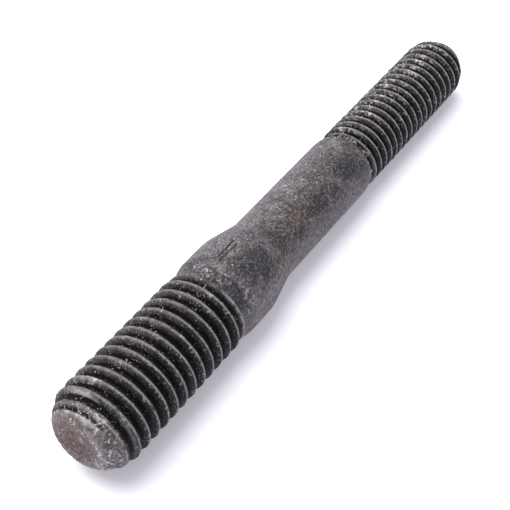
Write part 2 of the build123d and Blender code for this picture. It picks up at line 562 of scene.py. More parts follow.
# %% Score the collar
SCORES = ((24.0, 27.0, -6.6), (23.4, 25.1, -0.5), (25.5, 26.7, 0.0))
SCORE_HALF_WIDTH = 0.10
SCORE_DEPTH = 0.11
SCORE_SWAY = 0.25
SCORE_SWAY_RATE = 2.3
SCORE_RUN_IN = 0.15
SCORE_RUN_OUT = 0.2
SCORE_FIELD = (23.1, 27.3, -11.0, 5.0)
SCORE_CUTS = 2


def angle_of(point):
    """Degrees from the top of the bar, towards the viewer's side."""
    return degrees(atan2(-point.y, point.z))


def in_score_field(point):
    """Whether a place lies in the part of the collar that has the scores."""
    first, last, low, high = SCORE_FIELD
    return first < point.x < last and low < angle_of(point) < high


def score_amount(point):
    """How fully the place lies in a score, from 0 to 1."""
    amount = 0
    for first, last, angle in SCORES:
        sway = SCORE_SWAY * sin(SCORE_SWAY_RATE * point.x)
        aside = radians(angle_of(point) - angle - sway) * hypot(point.y, point.z)
        starts = (first - SCORE_RUN_IN, first + SCORE_RUN_IN)
        ends = (last - SCORE_RUN_OUT, last + SCORE_RUN_OUT)
        amount = max(amount, window(point.x, *starts, *ends) * bell(aside, SCORE_HALF_WIDTH))
    return amount


score_edges = [edge for edge in stud_bm.edges if all(in_score_field(vert.co) for vert in edge.verts)]
bmesh.ops.subdivide_edges(stud_bm, edges=score_edges, cuts=SCORE_CUTS, use_grid_fill=True)
for vert in stud_bm.verts:
    if in_score_field(vert.co):
        radius = hypot(vert.co.y, vert.co.z)
        scale = (bar_radius(vert.co.x) - SCORE_DEPTH * score_amount(vert.co)) / radius
        vert.co = (vert.co.x, vert.co.y * scale, vert.co.z * scale)
print("scored faces:", sum(in_score_field(face.calc_center_median()) for face in stud_bm.faces))

# %% [markdown]
# A stud from a parts bin is not perfect. Its crests wander a little and carry nicks and burrs, and
# scale leaves the plain bar faintly uneven. Sculpting would do it once only. Smooth noise moves the
# points here, with a fixed pattern, so each run gives the same stud. Crests get the most, because
# they take the knocks. A wave of noise is given by its height, its size in millimetres and its seed.

# %% Knock the surface about
UNEVEN_SKIN = ((0.014, 2.6, 0.0), (0.012, 0.6, 9.0))
KNOCKS = ((1.0, 0.36, 31.0), (0.6, 1.3, 17.0))
KNOCK_LEVEL = 0.30
KNOCK_RANGE = 0.5
BURR_HEIGHT = 0.08
NICK_DEPTH = 0.15
ROUGH_ROOT = ((0.03, 0.35, 3.0),)


def wander(point, waves):
    """Smooth noise at a place, as the sum of its waves."""
    total = 0
    for height, size, seed in waves:
        spot = Vector((point.x / size + seed, point.y / size - seed, point.z / size + seed))
        total += height * noise.noise(spot)
    return total


def wear_surface(bm):
    """Moves each point along its normal: faint unevenness, and knocks on the crests."""
    crest = bm.verts.layers.float["crest"]
    groove = bm.verts.layers.float["groove"]
    moves = []
    for vert in bm.verts:
        top, deep = vert[crest], vert[groove]
        knock = wander(vert.co, KNOCKS)
        burr = BURR_HEIGHT * max(knock - KNOCK_LEVEL, 0) / KNOCK_RANGE
        nick = NICK_DEPTH * max(-knock - KNOCK_LEVEL, 0) / KNOCK_RANGE
        move = wander(vert.co, UNEVEN_SKIN)
        move += top * (burr - nick)
        move += (1 - top) * deep * wander(vert.co, ROUGH_ROOT)
        moves.append(vert.normal * move)
    for vert, move in zip(bm.verts, moves):
        vert.co += move


stud_bm.normal_update()
wear_surface(stud_bm)
print(f"widest now {max(hypot(vert.co.y, vert.co.z) for vert in stud_bm.verts):.3f} mm")

# %% [markdown]
# Dirt on a stud has causes, and each leaves stains in some places only. They could be painted by
# hand, but a list of soft patches can be read and changed. A patch is given by its station, its
# angle, its half lengths along and around the bar in millimetres, and its strength. Noise makes its
# border ragged, and where two patches meet the stronger one counts.

# %% Soft patches
PATCH_CORE = 0.35
RAGGED_BORDER = ((0.55, 0.9, 5.0), (0.35, 0.35, 11.0))


def patches_at(point, patches):
    """The strongest of the soft patches at a place, with ragged borders."""
    angle, radius = angle_of(point), hypot(point.y, point.z)
    ragged = 1 + wander(point, RAGGED_BORDER)
    amount = 0
    for station, turned, along, around, strength in patches:
        aside = (angle - turned + 180) % 360 - 180
        far = hypot((point.x - station) / along, radians(aside) * radius / around) * ragged
        amount = max(amount, strength * (1 - smooth_step(far, PATCH_CORE, 1.0)))
    return amount


print("a patch is whole up to", PATCH_CORE, "of its size")

# %% [markdown]
# Damp left rust on the shank and on the flanks of the thick end, a little on the thin end, and some
# behind. Smoke and oil blackened the bar beside both threads and in cloudy patches along its length.

# %% Where rust and soot lie
RUST_PATCHES = (
    (31.9, 46, 3.4, 2.8, 0.9),
    (30.0, 66, 2.6, 2.0, 0.8),
    (36.4, 34, 3.6, 2.6, 0.7),
    (31.6, 12, 2.0, 1.8, 0.6),
    (28.2, 52, 1.6, 1.6, 0.5),
    (43.5, 4, 2.8, 2.0, 0.5),
    (40.2, 22, 2.2, 1.8, 0.45),
    (39.0, -120, 5.0, 3.5, 0.6),
    (25.0, 170, 4.0, 3.0, 0.5),
    (6.2, 10, 3.6, 3.4, 0.7),
    (11.0, 22, 4.2, 3.6, 0.9),
    (16.4, 14, 4.2, 3.6, 0.9),
    (20.8, 8, 1.2, 3.2, 0.6),
    (60.0, 40, 7.0, 2.4, 0.35),
)
SOOT_PATCHES = (
    (26.6, 38, 2.6, 2.8, 0.9),
    (24.2, 26, 1.8, 2.6, 0.6),
    (22.3, -34, 1.0, 2.4, 0.9),
    (21.5, -30, 0.9, 4.0, 1.0),
    (21.6, 6, 1.1, 3.6, 1.0),
    (21.8, 36, 1.1, 3.4, 1.0),
    (21.9, 72, 0.8, 3.0, 0.9),
    (22.9, -22, 1.0, 1.8, 0.7),
    (30.8, 30, 1.8, 1.8, 0.6),
    (34.2, 58, 2.4, 1.4, 0.5),
    (38.4, 44, 3.6, 2.0, 0.65),
    (45.2, 34, 3.0, 2.2, 0.9),
    (41.6, 52, 2.2, 1.6, 0.5),
    (47.2, 62, 2.0, 2.6, 0.6),
    (49.0, 20, 0.6, 4.0, 0.7),
    (29.0, -100, 4.0, 2.6, 0.5),
)
print(len(RUST_PATCHES), "patches of rust and", len(SOOT_PATCHES), "of soot")

# %% [markdown]
# Salt dried in a wavy line where each thread ends, and in a few spots on the bar. Dust caked on the
# thin end, mostly on the side that lay uppermost. A few thin streaks on the thick end's nose and
# first ridges are painted pale, as steel rubbed down bare and as painted highlight.

# %% Where salt, cakes of dust, bare steel and painted highlights lie
RESIDUE_PATCHES = (
    (21.9, -16, 0.6, 1.3, 0.9),
    (21.7, 5, 0.5, 1.6, 1.0),
    (22.8, 2, 0.8, 1.2, 0.6),
    (22.2, 22, 0.6, 1.1, 0.9),
    (22.9, 42, 0.7, 1.4, 1.0),
    (22.8, 58, 0.9, 1.3, 0.9),
    (22.2, 70, 0.7, 1.1, 0.6),
    (25.2, -14, 0.8, 0.7, 0.5),
    (26.9, 4, 0.6, 0.9, 0.5),
    (38.2, -22, 0.9, 0.5, 0.8),
    (32.6, 14, 1.8, 1.2, 0.4),
    (29.0, 70, 2.2, 1.4, 0.4),
    (49.3, -22, 0.5, 1.6, 0.9),
    (49.2, 12, 0.45, 1.6, 0.8),
    (49.1, 40, 0.5, 1.5, 1.0),
    (48.8, 66, 0.7, 1.6, 1.0),
    (49.2, 90, 0.5, 1.3, 0.9),
)
CAKE_PATCHES = (
    (61.5, -18, 14.5, 3.9, 0.72),
    (50.4, -10, 1.3, 2.4, 0.8),
    (54.1, 2, 1.8, 1.4, 0.8),
    (57.9, -9, 2.0, 1.5, 0.9),
    (66.8, -8, 1.8, 1.8, 1.0),
    (70.2, -14, 1.4, 1.8, 0.9),
    (72.6, -20, 1.4, 2.0, 0.9),
    (4.1, -8, 0.8, 1.6, 0.7),
    (1.45, 26, 0.5, 1.3, 0.8),
)
BARE_AND_SHEEN_PATCHES = (
    (2.46, -12, 0.26, 2.4, 0.9),
    (2.75, 66, 0.24, 4.0, 0.28),
    (4.02, -24, 0.3, 2.0, 0.5),
    (0.68, -8, 0.22, 2.4, 0.9),
)
print(len(RESIDUE_PATCHES), "patches of salt,", len(CAKE_PATCHES), "cakes,", len(BARE_AND_SHEEN_PATCHES), "streaks")

# %% [markdown]
# The cut face of the thick end is a world of its own. Its bare metal rusted first, a little off the
# middle, and its rim is chipped on the viewer's side. Both follow the face and not the bar, so each
# has a function: radii are measured from the axis, and stations from the face.

# %% Stains of the thick end's face
FACE_RUST_MIDDLE = (0.2, 0.6)
FACE_RUST_RADIUS = 3.3
FACE_RUST_CORE = 0.5
FACE_RUST_BORDER = ((0.7, 1.1, 23.0),)
FACE_RUST_STATIONS = (0.6, 1.1)
CHIP_RADII = (1.5, 2.5)
CHIP_STATIONS = (1.3, 2.0)
CHIP_ANGLES = (-40, 30, 130, 170)
CHIPS_ELSEWHERE = 0.35
CHIP_CROWDS = ((1.0, 1.0, 29.0),)
CHIP_CROWD_LEVELS = (-0.40, 0.20)


def face_rust(point):
    """Rust on the thick end's face, strongest a little off its middle."""
    middle_y, middle_z = FACE_RUST_MIDDLE
    off = hypot(point.y - middle_y, point.z - middle_z) + wander(point, FACE_RUST_BORDER)
    amount = 1 - smooth_step(off, FACE_RUST_CORE * FACE_RUST_RADIUS, FACE_RUST_RADIUS)
    return amount * (1 - smooth_step(point.x, *FACE_RUST_STATIONS))


def rim_chips(point):
    """Pale chips around the rim and on the nose, most of them on the viewer's side."""
    reach = smooth_step(hypot(point.y, point.z), *CHIP_RADII) * (1 - smooth_step(point.x, *CHIP_STATIONS))
    side = CHIPS_ELSEWHERE + (1 - CHIPS_ELSEWHERE) * window(angle_of(point), *CHIP_ANGLES)
    return reach * side * smooth_step(wander(point, CHIP_CROWDS), *CHIP_CROWD_LEVELS)


print("face rust reaches", FACE_RUST_RADIUS, "mm from its middle")

# %% [markdown]
# The material will read each stain from the mesh, as a value per point under its own name. Vertex
# values travel with the mesh and need no image, and these points lie close enough to hold them. Two
# more go by the angle around the bar: painted light, pale low on the viewer's side and weaker on the
# lit side behind, and the dust on top, which also marks the lit side.

# %% Stain the stud
FACE_STATIONS = (1.0, 2.0)
PAINTED_LIGHT_STATIONS = (0.5, 1.5)
PAINTED_LIGHT_ANGLES = (48, 82, 130, 170)
PAINTED_LIGHT_ANGLES_BEHIND = (-120, -70, -30, 10)
PAINTED_LIGHT_BEHIND = 0.8
PAINTED_LIGHT_MIDDLE = 0.75
PAINTED_LIGHT_WAVES = ((0.5, 2.4, 53.0),)
DUST_AND_LIT_SIDE_ANGLES = (-140, -90, -8, 40)
DUST_AND_LIT_SIDE_BORDER = ((16, 2.2, 41.0), (10, 0.7, 43.0))


def painted_light_amount(point):
    """Painted light: a pale tone low on the viewer's side, where light comes up from the floor, and a
    weaker one on the lit side behind.
    """
    angle = angle_of(point)
    sides = max(window(angle, *PAINTED_LIGHT_ANGLES), PAINTED_LIGHT_BEHIND * window(angle, *PAINTED_LIGHT_ANGLES_BEHIND))
    return smooth_step(point.x, *PAINTED_LIGHT_STATIONS) * sides * (PAINTED_LIGHT_MIDDLE + wander(point, PAINTED_LIGHT_WAVES))


def dust_and_lit_side_amount(point):
    """Dust on the side that lay uppermost, with a wavy border. It also marks the lit side, painted
    lighter, against the lower side, painted as shade.
    """
    return window(angle_of(point) + wander(point, DUST_AND_LIT_SIDE_BORDER), *DUST_AND_LIT_SIDE_ANGLES)


STAINS = {
    "rust": lambda point: max(patches_at(point, RUST_PATCHES), face_rust(point)),
    "soot": lambda point: patches_at(point, SOOT_PATCHES),
    "residue": lambda point: patches_at(point, RESIDUE_PATCHES),
    "cake": lambda point: patches_at(point, CAKE_PATCHES),
    "dust_and_lit_side": dust_and_lit_side_amount,
    "score": score_amount,
    "bare_and_sheen": lambda point: patches_at(point, BARE_AND_SHEEN_PATCHES),
    "face": lambda point: 1 - smooth_step(point.x, *FACE_STATIONS),
    "chips": rim_chips,
    "painted_light": painted_light_amount,
}
for name, amount_at in STAINS.items():
    layer = stud_bm.verts.layers.float.new(name)
    for vert in stud_bm.verts:
        vert[layer] = amount_at(vert.co)
print("stained", len(stud_bm.verts), "points with", list(STAINS))

# %% [markdown]
# The finished mesh goes to the ground with its place in its points, so the object itself stays at
# the origin, unturned and unscaled. It rides on the part's one body and stands for the plain solid.

# %% Make the stud
stud_bm.transform(bar_to_ground)
mesh = bpy.data.meshes.new("worn_stud")
stud_bm.to_mesh(mesh)
stud_bm.free()
mesh.shade_smooth()
stud = bpy.data.objects.new("worn_stud", mesh)
bpy.context.scene.collection.objects.link(stud)
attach(stud, "root")
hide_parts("stud")
triangles = sum(len(polygon.vertices) - 2 for polygon in mesh.polygons)
print(stud.name, "has", triangles, "triangles")

# %% [markdown]
# ## The finish
# Blackened steel is a thin dark oxide on bare steel, and it wears in layers. An image could show
# that, but nodes stay sharp at any distance. The next cell makes short helpers for shader nodes, so
# that a layer of the finish can be written in one line.

# %% Shader helpers
def node(tree, kind, inputs=None, **settings):
    """A node with its settings, and with values or links on its inputs."""
    made = tree.nodes.new("ShaderNode" + kind)
    for label, value in settings.items():
        setattr(made, label, value)
    for label, value in (inputs or {}).items():
        if isinstance(value, bpy.types.NodeSocket):
            tree.links.new(value, made.inputs[label])
        else:
            made.inputs[label].default_value = value
    return made


def maths(tree, operation, first, second=0.0):
    """One step of arithmetic."""
    return node(tree, "Math", {0: first, 1: second}, operation=operation).outputs[0]


def ramp(tree, value, low, high, to_low=0.0, to_high=1.0):
    """A value spread smoothly from low..high to to_low..to_high."""
    inputs = {"Value": value, "From Min": low, "From Max": high, "To Min": to_low, "To Max": to_high}
    return node(tree, "MapRange", inputs, interpolation_type="SMOOTHSTEP").outputs["Result"]


def product(tree, *values):
    """Several masks multiplied together."""
    result = values[0]
    for value in values[1:]:
        result = maths(tree, "MULTIPLY", result, value)
    return result


def mix_colour(tree, share, first, second):
    """The first colour where the share is 0, and the second where it is 1."""
    return node(tree, "Mix", {0: share, 6: first, 7: second}, data_type="RGBA").outputs[2]


def laid(tree, coat, over, *masks):
    """A coat with another colour over it, where all the masks are high."""
    return mix_colour(tree, product(tree, *masks), coat, over)


def colour(red, green, blue):
    """A colour with full cover."""
    return (red, green, blue, 1.0)


print("helpers ready")

# %% [markdown]
# The surface repeats two patterns at many sizes. Clouds are patches of noise, and turn into specks
# and grains when they are small and hard. Curls are the thin lines that drying salt leaves: they
# follow the places where noise has its middle value, which wander and close up like the edges of
# dried drops. Each pattern is a node group, built once and placed wherever it is needed.

# %% Pattern groups
NOISE_MIDDLE = 0.5
NOISE_ROUGHNESS = 0.62


def noise_group(name, *own_inputs):
    """A group with noise at a place: the group, its inputs, its outputs and the noise."""
    group = bpy.data.node_groups.new(name, "ShaderNodeTree")
    group.interface.new_socket("Place", in_out="INPUT", socket_type="NodeSocketVector")
    for label in ("Size", "Detail", "Seed") + own_inputs:
        group.interface.new_socket(label, in_out="INPUT", socket_type="NodeSocketFloat")
    group.interface.new_socket("Mask", in_out="OUTPUT", socket_type="NodeSocketFloat")
    inside = group.nodes.new("NodeGroupInput").outputs
    outside = group.nodes.new("NodeGroupOutput").inputs
    shifted = node(group, "VectorMath", {0: inside["Place"], 1: inside["Seed"]}, operation="ADD")
    inputs = {
        "Vector": shifted.outputs[0],
        "Scale": maths(group, "DIVIDE", 1.0, inside["Size"]),
        "Detail": inside["Detail"],
        "Roughness": NOISE_ROUGHNESS,
    }
    return group, inside, outside, node(group, "TexNoise", inputs).outputs["Fac"]


CLOUDS, inside, outside, cloud = noise_group("clouds", "Level", "Softness")
low = maths(CLOUDS, "SUBTRACT", inside["Level"], inside["Softness"])
high = maths(CLOUDS, "ADD", inside["Level"], inside["Softness"])
CLOUDS.links.new(ramp(CLOUDS, cloud, low, high), outside["Mask"])

CURLS, inside, outside, cloud = noise_group("curls", "Width")
off_middle = maths(CURLS, "ABSOLUTE", maths(CURLS, "SUBTRACT", cloud, NOISE_MIDDLE))
CURLS.links.new(ramp(CURLS, off_middle, inside["Width"], 0.0), outside["Mask"])
print("groups:", [group.name for group in bpy.data.node_groups])

# %% [markdown]
# A pattern is kept as a short recipe, so that a finish can be tuned without touching its nodes.
# Clouds have a size in millimetres, a level and a softness that say where they begin, a detail and
# a seed. Curls have a size, a width, a detail and a seed. All of them read the object's own
# coordinates, which in this piece are metres on the ground.

# %% Patterns and kept values as masks
def clouds(tree, place, recipe):
    """A mask of clouds, specks or grains."""
    size, level, softness, detail, seed = recipe
    inputs = {"Place": place, "Size": size * MM, "Level": level, "Softness": softness}
    inputs.update({"Detail": detail, "Seed": seed})
    return node(tree, "Group", inputs, node_tree=CLOUDS).outputs["Mask"]


def curls(tree, place, recipe):
    """A mask of thin curly lines."""
    size, width, detail, seed = recipe
    inputs = {"Place": place, "Size": size * MM, "Width": width, "Detail": detail, "Seed": seed}
    return node(tree, "Group", inputs, node_tree=CURLS).outputs["Mask"]


def kept(tree, name):
    """The value that the mesh keeps under that name."""
    return node(tree, "Attribute", attribute_name=name).outputs["Fac"]


SOOT_RISE, SOOT_SHARE = (0.0, 0.8), 0.85
SALT_SPECKS = (0.30, 0.57, 0.07, 2.0, 0.4)
GRAINS = (0.21, 0.650, 0.03, 1.0, 0.1)
GRAIN_CROWDS = (1.1, 0.53, 0.09, 3.0, 0.5)


def shared_masks(tree, place):
    """The masks that more than one coat needs, by name."""
    masks = {name: kept(tree, name) for name in ("rust", "face", "dust_and_lit_side", "thread", "groove")}
    masks["soot"] = product(tree, ramp(tree, kept(tree, "soot"), *SOOT_RISE), SOOT_SHARE)
    masks["salt"] = clouds(tree, place, SALT_SPECKS)
    masks["grains"] = product(tree, clouds(tree, place, GRAINS), clouds(tree, place, GRAIN_CROWDS))
    return masks


print("salt specks of", SALT_SPECKS[0], "mm, grains of", GRAINS[0], "mm")

# %% [markdown]
# The material is laid on like the real layers. First comes the oxide of the plain bar, a purplish
# grey with a fine pepper and salt mottle. Rust and soot stain it. A paler tone is painted on as light,
# low on the viewer's side and on the lit side behind, and the face is browner. Plain mixes of colours
# are enough for all of it, one over the other, because every layer is as dull as the next. A share
# says how much of a layer shows where it is strongest.

# %% The plain bar's coat
OXIDE_DEEP = colour(0.052, 0.046, 0.049)
OXIDE_PALE = colour(0.133, 0.117, 0.124)
OXIDE_BLUE = colour(0.044, 0.041, 0.048)
# A paler tone painted as light, low on the viewer's side and on the lit side behind.
PAINTED_LIGHT_TONE = colour(0.170, 0.160, 0.176)
RUST = colour(0.064, 0.043, 0.039)
FACE_RUST = colour(0.112, 0.064, 0.050)
FACE_BROWN = colour(0.120, 0.098, 0.090)
SOOT = colour(0.020, 0.020, 0.024)
PEPPER = colour(0.018, 0.017, 0.019)
SALT = colour(0.300, 0.285, 0.290)

MOTTLE = (1.0, 0.5, 0.15, 3.0, 0.0)
BLUE_CLOUDS, BLUE_SHARE = (3.0, 0.5, 0.12, 2.0, 0.8), 0.6
RUST_CLOUDS, RUST_SHARE, RUST_RISE = (0.9, 0.36, 0.14, 3.0, 0.3), 0.95, (0.0, 0.6)
PAINTED_LIGHT_CLOUDS, PAINTED_LIGHT_SHARE = (1.4, 0.38, 0.16, 3.0, 0.28), 0.8
FACE_CLOUDS, FACE_SHARE = (1.2, 0.42, 0.2, 3.0, 0.6), 0.5
PEPPER_SPECKS, PEPPER_SHARE, PEPPER_SHARE_ON_FACE = (0.38, 0.54, 0.09, 3.0, 0.2), 0.60, 0.30
SALT_SHARE = 0.30
SALT_LINES, SALT_LINE_SHARE = (0.60, 0.045, 1.0, 0.25), 0.26
SALT_LINE_CROWDS = (1.2, 0.5, 0.12, 3.0, 0.35)
SOOT_OVER_SALT = 0.35


def plain_coat(tree, place, masks):
    """The oxide of the plain bar, with its stains, its pepper and its salt."""
    on_face, soot = masks["face"], masks["soot"]
    coat = mix_colour(tree, clouds(tree, place, MOTTLE), OXIDE_DEEP, OXIDE_PALE)
    coat = laid(tree, coat, OXIDE_BLUE, clouds(tree, place, BLUE_CLOUDS), BLUE_SHARE)
    rusty = mix_colour(tree, on_face, RUST, FACE_RUST)
    rust = ramp(tree, masks["rust"], *RUST_RISE)
    coat = laid(tree, coat, rusty, rust, clouds(tree, place, RUST_CLOUDS), RUST_SHARE)
    coat = laid(tree, coat, SOOT, soot)
    # Painted light: a paler tone, low on the viewer's side and on the lit side behind.
    coat = laid(tree, coat, PAINTED_LIGHT_TONE, kept(tree, "painted_light"), clouds(tree, place, PAINTED_LIGHT_CLOUDS), PAINTED_LIGHT_SHARE)
    coat = laid(tree, coat, FACE_BROWN, on_face, clouds(tree, place, FACE_CLOUDS), FACE_SHARE)
    pepper_share = ramp(tree, on_face, 0.0, 1.0, PEPPER_SHARE, PEPPER_SHARE_ON_FACE)
    coat = laid(tree, coat, PEPPER, clouds(tree, place, PEPPER_SPECKS), pepper_share)
    coat = laid(tree, coat, SALT, masks["salt"], SALT_SHARE)
    salt_lines = product(tree, curls(tree, place, SALT_LINES), clouds(tree, place, SALT_LINE_CROWDS))
    coat = laid(tree, coat, SALT, salt_lines, SALT_LINE_SHARE)
    return laid(tree, coat, SOOT, soot, SOOT_OVER_SALT)


print("plain coat defined")

# %% [markdown]
# The threads get a coat of their own. Oil stays in a groove, and the roots are painted black as oil and
# as the shade that fills a groove. The flanks that face up, on the lit side, are dusty, brown or grey
# by turns, with grey along the crests, and are painted lighter as light falls on them. Those that face
# down are nearly black, as painted shade. The depth that the shaping kept, 0 at a crest and 1 in a
# root, sorts them.

# %% The threads' coat
# Black of oil and painted shade in the roots, also laid in the scores.
SHADE_AND_OIL_BLACK = colour(0.0045, 0.0042, 0.0045)
FLANK_DARK_AND_SHADE = colour(0.012, 0.011, 0.011)
FLANK_GREY = colour(0.050, 0.045, 0.044)
FLANK_BROWN = colour(0.072, 0.054, 0.043)
CREST_GREY = colour(0.128, 0.118, 0.119)

FLANK_CLOUDS = (0.55, 0.50, 0.11, 3.0, 0.6)
CREST_CLOUDS = (0.45, 0.45, 0.14, 3.0, 0.65)
UPPER_CREST_DEPTHS = (0.02, 0.26)
LOWER_CREST_DEPTHS = (0.0, 0.12)
ROOT_DEPTHS = (0.40, 0.64)
DUST_SPECKS, DUST_SHARE = (0.30, 0.56, 0.06, 3.0, 0.55), 0.42
DUST_CROWDS = (1.3, 0.49, 0.12, 3.0, 0.45)


def thread_coat(tree, place, masks):
    """The threads: black roots of oil and painted shade, dusty flanks painted lit above, nearly black
    painted shade below.
    """
    depth = masks["groove"]
    # Painted light with dust: the upper flanks and crests are lighter.
    tone = mix_colour(tree, masks["rust"], FLANK_GREY, FLANK_BROWN)
    flank = mix_colour(tree, clouds(tree, place, FLANK_CLOUDS), FLANK_DARK_AND_SHADE, tone)
    crest = mix_colour(tree, clouds(tree, place, CREST_CLOUDS), flank, CREST_GREY)
    upper = mix_colour(tree, ramp(tree, depth, *UPPER_CREST_DEPTHS), crest, flank)
    dusting = product(tree, clouds(tree, place, DUST_SPECKS), clouds(tree, place, DUST_CROWDS))
    upper = laid(tree, upper, SALT, dusting, DUST_SHARE)
    # Painted shade: the flanks on the lower side are nearly black.
    lower = mix_colour(tree, ramp(tree, depth, *LOWER_CREST_DEPTHS), FLANK_GREY, FLANK_DARK_AND_SHADE)
    coat = mix_colour(tree, masks["dust_and_lit_side"], lower, upper)
    coat = laid(tree, coat, SOOT, masks["soot"])
    # Painted shade with oil: the roots are black.
    return laid(tree, coat, SHADE_AND_OIL_BLACK, ramp(tree, depth, *ROOT_DEPTHS))


print("thread coat defined")

# %% [markdown]
# Handling rubs the oxide off. It leaves thin bright lines along the crests, which are also painted
# highlight and are weaker where dust lies on the lit side. It leaves a few pale streaks by the thick
# end's nose, bare steel and painted highlight, and burrs whose glints are painted as pale flecks on
# the lower side. Edge wear is often found with Geometry's Pointiness, but that changes with the
# fineness of the mesh. The kept values know exactly where the crests are.

# %% Bare steel and painted highlights
BARE_STEEL_AND_SHEEN = colour(0.350, 0.332, 0.345)
SALT_BLUE = colour(0.390, 0.385, 0.405)

BARE_AND_SHEEN_CLOUDS, BARE_AND_SHEEN_DEPTHS = (0.7, 0.40, 0.2, 3.0, 0.75), (0.62, 0.42)
BURR_FLECKS, BURR_SHARE = (0.36, 0.60, 0.05, 2.0, 0.12), 0.65
BURR_CROWDS = (1.0, 0.48, 0.1, 3.0, 0.22)
BURR_DEPTHS, BURR_DUST_AND_LIT_SIDE = (0.50, 0.10), (0.8, 0.2)
LINE_PATCHES, LINE_BREAKS = (0.8, 0.38, 0.12, 3.0, 0.7), (0.32, 0.38, 0.10, 3.0, 0.8)
LINE_UNDER_DUST_AND_LIT_SIDE = 0.25


def bare_steel_and_sheen(tree, place, masks, coat):
    """Bright metal where the threads were knocked or rubbed, with painted highlights and glints."""
    depth, dust_and_lit_side = masks["groove"], masks["dust_and_lit_side"]
    outside_root = ramp(tree, depth, *BARE_AND_SHEEN_DEPTHS)
    # Painted highlight with wear: pale streaks by the thick end's nose.
    coat = laid(tree, coat, BARE_STEEL_AND_SHEEN, kept(tree, "bare_and_sheen"), clouds(tree, place, BARE_AND_SHEEN_CLOUDS), outside_root)
    # Pale flecks are painted glints of burrs, on the lower side near the crests.
    near_crest = product(tree, ramp(tree, depth, *BURR_DEPTHS), ramp(tree, dust_and_lit_side, *BURR_DUST_AND_LIT_SIDE))
    flecks = product(tree, clouds(tree, place, BURR_FLECKS), clouds(tree, place, BURR_CROWDS))
    coat = laid(tree, coat, SALT_BLUE, flecks, masks["thread"], near_crest, BURR_SHARE)
    # Painted highlight with wear: bright lines along the crests, strongest on the lower side.
    line = product(tree, kept(tree, "crest"), clouds(tree, place, LINE_PATCHES))
    shine = ramp(tree, dust_and_lit_side, 0.0, 1.0, 1.0, LINE_UNDER_DUST_AND_LIT_SIDE)
    return laid(tree, coat, BARE_STEEL_AND_SHEEN, line, clouds(tree, place, LINE_BREAKS), shine)


print("bare steel defined")

# %% [markdown]
# What settled last lies over everything: cakes of pale dust, curls and flakes of dried salt, pale
# chips around the rim, and hard grains all over. Grains and flakes could be small pieces of their
# own, but thousands of them would weigh more than the stud. The scores stay black.

# %% Salt, cakes and grains
CAKE = colour(0.520, 0.510, 0.490)
GRAIN = colour(0.520, 0.500, 0.490)

CAKE_LUMPS, CAKE_CROWDS = (0.55, 0.545, 0.05, 3.0, 0.9), (1.7, 0.49, 0.09, 3.0, 0.95)
CAKE_DEPTHS = (0.55, 0.40)
RESIDUE_CURLS = (0.80, 0.046, 0.0, 0.15)
RESIDUE_FLAKES, RESIDUE_CROWDS = (0.36, 0.60, 0.05, 2.0, 0.85), (0.9, 0.44, 0.1, 3.0, 0.65)
RESIDUE_RISE, RESIDUE_SHARE = (0.1, 0.7), 0.78
CHIP_FLECKS = (0.34, 0.585, 0.04, 2.0, 0.33)
GRAIN_SHARE_BELOW, GRAIN_SHARE_ABOVE = 0.32, 0.9
SCORE_SHARE = 0.95


def deposits(tree, place, masks, coat):
    """Dust cakes, curls of residue, chips and hard pale grains, and the black of the scores."""
    lumps = product(tree, clouds(tree, place, CAKE_LUMPS), clouds(tree, place, CAKE_CROWDS))
    above_root = ramp(tree, masks["groove"], *CAKE_DEPTHS)
    coat = laid(tree, coat, CAKE, kept(tree, "cake"), lumps, above_root)
    crust = maths(tree, "MAXIMUM", curls(tree, place, RESIDUE_CURLS), clouds(tree, place, RESIDUE_FLAKES))
    residue = ramp(tree, kept(tree, "residue"), *RESIDUE_RISE)
    coat = laid(tree, coat, SALT_BLUE, crust, clouds(tree, place, RESIDUE_CROWDS), residue, RESIDUE_SHARE)
    coat = laid(tree, coat, GRAIN, kept(tree, "chips"), clouds(tree, place, CHIP_FLECKS))
    # More grains show on the dusty upper side, which is also painted as the lit side.
    bright = ramp(tree, masks["dust_and_lit_side"], 0.0, 1.0, GRAIN_SHARE_BELOW, GRAIN_SHARE_ABOVE)
    coat = laid(tree, coat, GRAIN, masks["grains"], bright)
    return laid(tree, coat, SHADE_AND_OIL_BLACK, kept(tree, "score"), SCORE_SHARE)


print("deposits defined")

# %% [markdown]
# One Principled shader takes all the coats as its colour. The roots, oily and painted black as shade,
# count as more metallic than the dull oxide, which keeps the sky's light off them, and salt is a
# little smoother than the rest.
# A slight bump gives grains and skin a relief too fine for the mesh.

# %% Blackened steel
COAT_ON_THREAD_DEPTHS = (0.1, 0.35)
SPECULAR = 0.22
METALLIC, METALLIC_IN_ROOTS = 0.20, 0.55
ROUGHNESS, ROUGHNESS_OF_SALT = 0.66, 0.50
SKIN = (0.26, 0.5, 0.25, 3.0, 0.2)
GRAIN_RELIEF = 1.4
BUMP_STRENGTH = 0.6
BUMP_HEIGHT = 0.05


